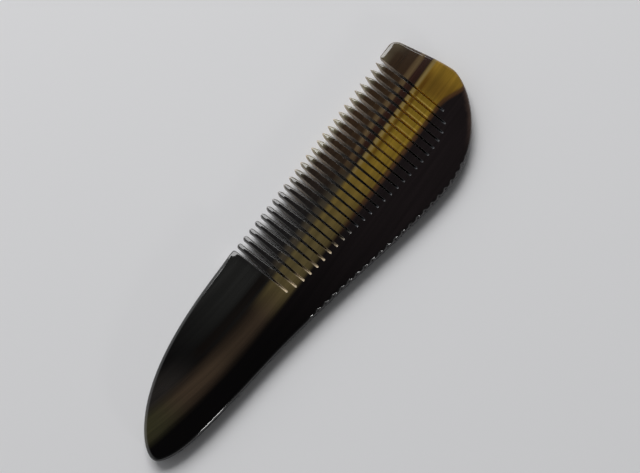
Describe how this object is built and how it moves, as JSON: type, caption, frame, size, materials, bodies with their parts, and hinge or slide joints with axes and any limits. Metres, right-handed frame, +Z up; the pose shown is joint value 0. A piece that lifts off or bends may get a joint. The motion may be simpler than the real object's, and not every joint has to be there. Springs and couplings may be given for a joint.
{
  "type": "horn comb",
  "caption": "Flat one-piece polished horn comb with a broad curved handle, a bellied spine and one row of sawn teeth.",
  "frame": {"origin": "middle of the bounding box, on the face that the comb lies on", "axes": "+X along the line of the tooth tips, from the handle to the front end; +Y towards the tooth tips; +Z up, through the plate's thickness"},
  "size_m": [0.1694, 0.0474, 0.005],
  "materials": {
    "handle_horn": "polished dark horn with a dim brown-olive streak along its middle",
    "spine_horn": "polished near-black horn",
    "guard_horn": "polished amber and dark brown horn",
    "tooth_horn": "polished horn, dark at the tips and amber towards the roots"
  },
  "bodies": {
    "root": {"handle": "handle_horn", "spine": "spine_horn", "front_guard": "guard_horn", "tooth_01": "tooth_horn", "tooth_02": "tooth_horn", "tooth_03": "tooth_horn", "tooth_04": "tooth_horn", "tooth_05": "tooth_horn", "tooth_06": "tooth_horn", "tooth_07": "tooth_horn", "tooth_08": "tooth_horn", "tooth_09": "tooth_horn", "tooth_10": "tooth_horn", "tooth_11": "tooth_horn", "tooth_12": "tooth_horn", "tooth_13": "tooth_horn", "tooth_14": "tooth_horn", "tooth_15": "tooth_horn", "tooth_16": "tooth_horn", "tooth_17": "tooth_horn", "tooth_18": "tooth_horn", "tooth_19": "tooth_horn", "tooth_20": "tooth_horn", "tooth_21": "tooth_horn", "tooth_22": "tooth_horn", "tooth_23": "tooth_horn", "tooth_24": "tooth_horn", "tooth_25": "tooth_horn", "tooth_26": "tooth_horn"}
  },
  "joints": []
}
